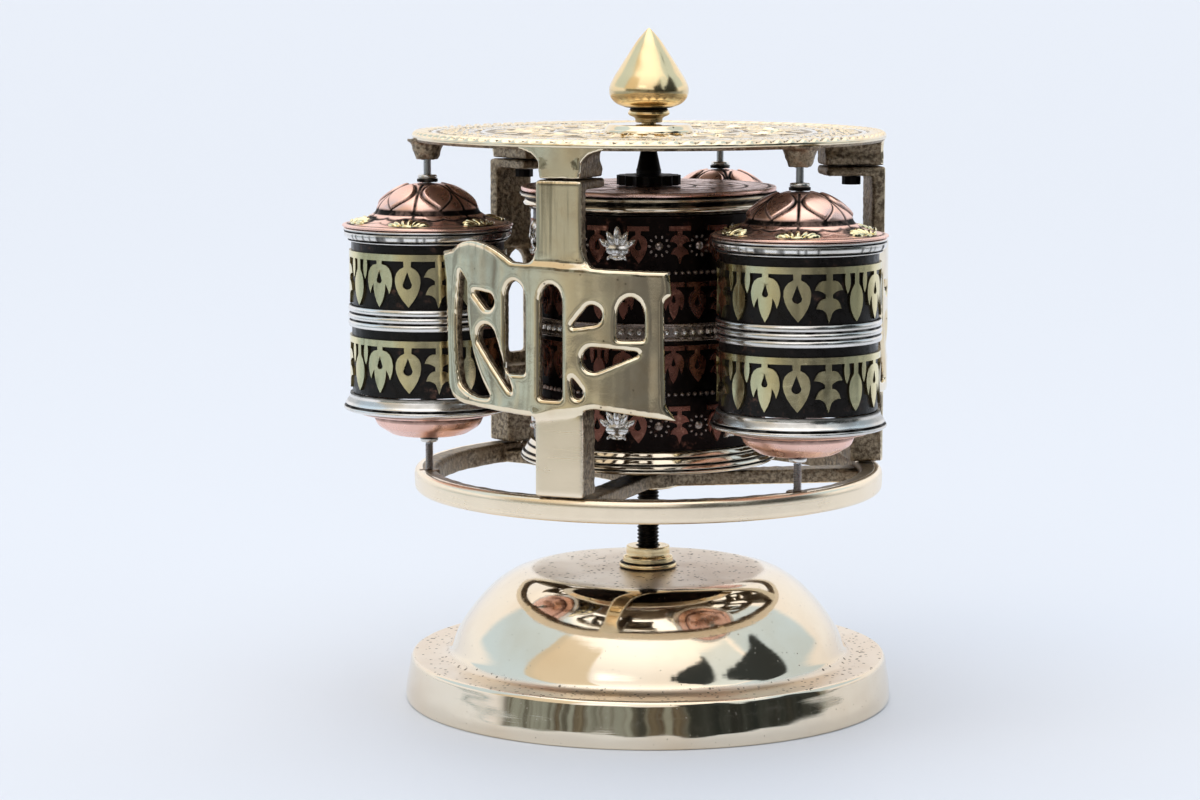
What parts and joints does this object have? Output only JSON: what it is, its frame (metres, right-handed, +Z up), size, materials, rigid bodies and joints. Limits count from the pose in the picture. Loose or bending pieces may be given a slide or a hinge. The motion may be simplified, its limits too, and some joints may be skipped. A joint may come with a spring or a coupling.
{
  "type": "prayer wheel",
  "caption": "Table prayer wheel: a turning three-post cage with a large drum on the centre shaft and small drums round it, on a domed round base.",
  "frame": {"origin": "on the table, under the centre shaft", "axes": "+Z up along the centre shaft; -Y is the front, +X to the right"},
  "size_m": [0.1472, 0.1471, 0.181],
  "materials": {
    "polished_brass": "polished, fine wear scratches",
    "cast_brass": "cast relief, dark patina in the recesses",
    "gold_brass": "polished golden brass",
    "copper": "satin copper, dark engraved lines",
    "white_metal": "burnished white metal, black in the grooves",
    "drum_relief": "black ground with polished brass relief",
    "blackened_copper": "blackened copper with copper highlights",
    "black_steel": "blackened steel",
    "steel": "plain drawn steel",
    "paper": "rolled paper",
    "felt": "felt"
  },
  "bodies": {
    "stand": {"base_casting": "polished_brass", "base_pad": "felt", "base_collar": "gold_brass", "base_nut": "steel", "central_shaft": "black_steel", "support_nut": "black_steel"},
    "cage": {"bottom_ring": "polished_brass", "top_plate": "cast_brass", "finial": "gold_brass", "upright_front": "polished_brass", "foot_screw_front": "steel", "top_screw_front": "black_steel", "upright_right": "polished_brass", "foot_screw_right": "steel", "top_screw_right": "black_steel", "upright_left": "polished_brass", "foot_screw_left": "steel", "top_screw_left": "black_steel", "axle_rod_right": "steel", "axle_nut_right": "steel", "axle_ferrule_right": "white_metal", "axle_rod_rear": "steel", "axle_nut_rear": "steel", "axle_ferrule_rear": "white_metal", "axle_rod_left": "steel", "axle_nut_left": "steel", "axle_ferrule_left": "white_metal"},
    "main_wheel": {"main_bottom_moulding": "polished_brass", "main_floor": "blackened_copper", "main_drum": "blackened_copper", "main_middle_band": "blackened_copper", "main_top_moulding": "polished_brass", "main_lid": "copper", "crown_washer": "black_steel", "main_hub_tube": "steel", "main_scroll": "paper"},
    "wheel_right": {"right_dish": "copper", "right_bottom_moulding": "white_metal", "right_drum": "drum_relief", "right_middle_band": "white_metal", "right_top_moulding": "white_metal", "right_lid": "copper", "right_hub_tube": "steel", "right_scroll": "paper"},
    "wheel_rear": {"rear_dish": "copper", "rear_bottom_moulding": "white_metal", "rear_drum": "drum_relief", "rear_middle_band": "white_metal", "rear_top_moulding": "white_metal", "rear_lid": "copper", "rear_hub_tube": "steel", "rear_scroll": "paper"},
    "wheel_left": {"left_dish": "copper", "left_bottom_moulding": "white_metal", "left_drum": "drum_relief", "left_middle_band": "white_metal", "left_top_moulding": "white_metal", "left_lid": "copper", "left_hub_tube": "steel", "left_scroll": "paper"}
  },
  "joints": [
    {"name": "cage_spin", "type": "hinge", "parent": "stand", "child": "cage", "pos_m": [0, 0, 0.1], "axis": [0, 0, 1], "continuous": true},
    {"name": "main_wheel_spin", "type": "hinge", "parent": "stand", "child": "main_wheel", "pos_m": [0, 0, 0.1], "axis": [0, 0, 1], "continuous": true},
    {"name": "wheel_right_spin", "type": "hinge", "parent": "cage", "child": "wheel_right", "pos_m": [0.03831, -0.04566, 0.105], "axis": [0, 0, 1], "continuous": true},
    {"name": "wheel_rear_spin", "type": "hinge", "parent": "cage", "child": "wheel_rear", "pos_m": [0.02038, 0.05601, 0.105], "axis": [0, 0, 1], "continuous": true},
    {"name": "wheel_left_spin", "type": "hinge", "parent": "cage", "child": "wheel_left", "pos_m": [-0.05869, -0.01035, 0.105], "axis": [0, 0, 1], "continuous": true}
  ]
}
